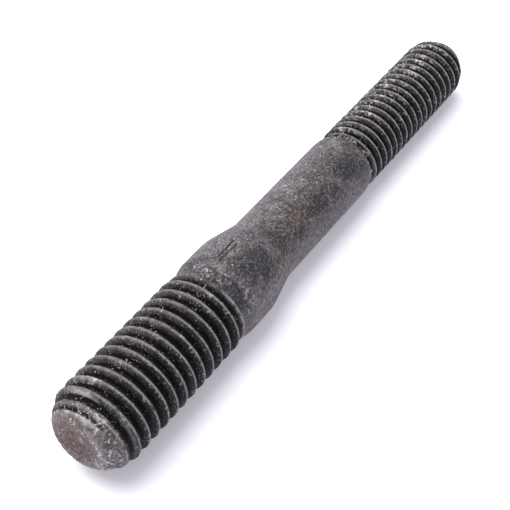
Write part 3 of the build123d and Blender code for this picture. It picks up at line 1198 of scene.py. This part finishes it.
def blackened_steel():
    """The whole finish as one material."""
    material = bpy.data.materials.new("blackened_steel")
    material.use_nodes = True
    tree = material.node_tree
    tree.nodes.clear()
    place = node(tree, "TexCoord").outputs["Object"]
    masks = shared_masks(tree, place)
    depth = masks["groove"]
    on_thread = maths(tree, "MAXIMUM", masks["thread"], ramp(tree, depth, *COAT_ON_THREAD_DEPTHS))
    coat = mix_colour(tree, on_thread, plain_coat(tree, place, masks), thread_coat(tree, place, masks))
    coat = bare_steel_and_sheen(tree, place, masks, coat)
    coat = deposits(tree, place, masks, coat)
    raised = maths(tree, "ADD", product(tree, masks["grains"], GRAIN_RELIEF), clouds(tree, place, SKIN))
    bump = node(tree, "Bump", {"Height": raised, "Strength": BUMP_STRENGTH, "Distance": BUMP_HEIGHT * MM})
    shader = node(tree, "BsdfPrincipled", {
        "Base Color": coat,
        "Metallic": ramp(tree, depth, *ROOT_DEPTHS, METALLIC, METALLIC_IN_ROOTS),
        "Roughness": ramp(tree, masks["salt"], 0.0, 1.0, ROUGHNESS, ROUGHNESS_OF_SALT),
        "Specular IOR Level": SPECULAR,
        "Normal": bump.outputs[0],
    })
    node(tree, "OutputMaterial", {"Surface": shader.outputs[0]})
    return material


stud.data.materials.append(blackened_steel())
print("material:", stud.data.materials[0].name)

# %% [markdown]
# ## Floor, light and camera
# The stud lies on a white floor that has no visible edge. More light would whiten the floor but wash
# out the stud, so the floor glows a little instead, for the camera and for reflections only. It
# reads as white and still takes the stud's soft shadow.

# %% Floor
FLOOR_HALF = 1.5
FLOOR_WHITE = colour(0.846, 0.832, 0.905)
GLOW_WHITE = colour(0.96, 0.95, 1.0)
FLOOR_GLOW = 0.24


def seen_masks(tree):
    """Two masks: what the camera sees directly or in a reflection, and what it sees directly."""
    paths = node(tree, "LightPath").outputs
    direct = paths["Is Camera Ray"]
    return maths(tree, "MAXIMUM", direct, paths["Is Glossy Ray"]), direct


floor_material = bpy.data.materials.new("floor_white")
floor_material.use_nodes = True
tree = floor_material.node_tree
tree.nodes.clear()
seen = seen_masks(tree)[0]
diffuse = node(tree, "BsdfDiffuse", {"Color": FLOOR_WHITE})
glow = node(tree, "Emission", {"Color": GLOW_WHITE, "Strength": maths(tree, "MULTIPLY", seen, FLOOR_GLOW)})
both = node(tree, "AddShader", {0: diffuse.outputs[0], 1: glow.outputs[0]})
node(tree, "OutputMaterial", {"Surface": both.outputs[0]})

floor_bm = bmesh.new()
bmesh.ops.create_grid(floor_bm, x_segments=1, y_segments=1, size=FLOOR_HALF)
floor_mesh = bpy.data.meshes.new("floor")
floor_bm.to_mesh(floor_mesh)
floor_bm.free()
floor_mesh.materials.append(floor_material)
ground = bpy.data.objects.new("floor", floor_mesh)
bpy.context.scene.collection.objects.link(ground)
print("floor laid,", 2 * FLOOR_HALF, "metres wide")

# %% [markdown]
# One large soft lamp stands high and a little behind the stud, so the shadow is short and soft. A
# small lamp would draw a hard shadow, and several would draw several. A faintly lilac sky fills it
# from all sides, and gives the shadow its tint. The camera itself sees that sky as plain white.

# %% Light
KEY_DIRECTION = (-0.03, 0.34, 0.93)
KEY_DISTANCE = 0.6
KEY_SIZE = 0.62
KEY_WATTS = 6.0
KEY_TINT = (1.0, 0.99, 0.965)
SKY = colour(0.95, 0.92, 1.0)
SKY_STRENGTH = 0.60
SEEN_WHITE = colour(1.0, 1.0, 1.0)

lamp = bpy.data.lights.new("key", "AREA")
lamp.shape = "SQUARE"
lamp.size = KEY_SIZE
lamp.energy = KEY_WATTS
lamp.color = KEY_TINT
key = bpy.data.objects.new("key", lamp)
bpy.context.scene.collection.objects.link(key)
towards = Vector(KEY_DIRECTION).normalized()
key.location = towards * KEY_DISTANCE
key.rotation_euler = towards.to_track_quat("Z", "Y").to_euler()

world = bpy.data.worlds.new("studio")
bpy.context.scene.world = world
world.use_nodes = True
tree = world.node_tree
tree.nodes.clear()
seen, direct = seen_masks(tree)
sky_tint = mix_colour(tree, direct, SKY, SEEN_WHITE)
sky_strength = ramp(tree, seen, 0.0, 1.0, SKY_STRENGTH, 1.0)
sky = node(tree, "Background", {"Color": sky_tint, "Strength": sky_strength})
node(tree, "OutputWorld", {"Surface": sky.outputs[0]})
print("lamps:", [item.name for item in bpy.data.lights])

# %% [markdown]
# The camera stands low over the thick end and looks along the stud, which brings that end close
# and lets the other one run away into the distance. It could be placed by hand and aimed by a
# constraint. Here it is given by two angles and by where a point on the collar lies in its own view,
# in millimetres to the right, up and ahead, so that the framing can be changed with single numbers.

# %% Camera
AZIMUTH = radians(-56.35)
DOWN = radians(46.4)
AIM_STATION = 26.9
AIM_IN_VIEW = Vector((-1.778, -2.150, 131.634))
LENS = 86.81
SENSOR_WIDTH = 36
CLIP_START = 1.0

sight = Vector((-sin(AZIMUTH) * cos(DOWN), cos(AZIMUTH) * cos(DOWN), -sin(DOWN)))
right = Vector((cos(AZIMUTH), sin(AZIMUTH), 0))
above = right.cross(sight)
aim = bar_to_ground @ Vector((AIM_STATION, 0, 0))
stand = aim - MM * (right * AIM_IN_VIEW.x + above * AIM_IN_VIEW.y + sight * AIM_IN_VIEW.z)
camera_data = bpy.data.cameras.new("camera")
camera_data.lens = LENS
camera_data.sensor_width = SENSOR_WIDTH
camera_data.clip_start = CLIP_START * MM
camera = bpy.data.objects.new("camera", camera_data)
bpy.context.scene.collection.objects.link(camera)
camera.matrix_world = Matrix.Translation(stand) @ Matrix((right, above, -sight)).transposed().to_4x4()
bpy.context.scene.camera = camera
bpy.context.scene.view_settings.view_transform = "Standard"
print("camera at", stand)
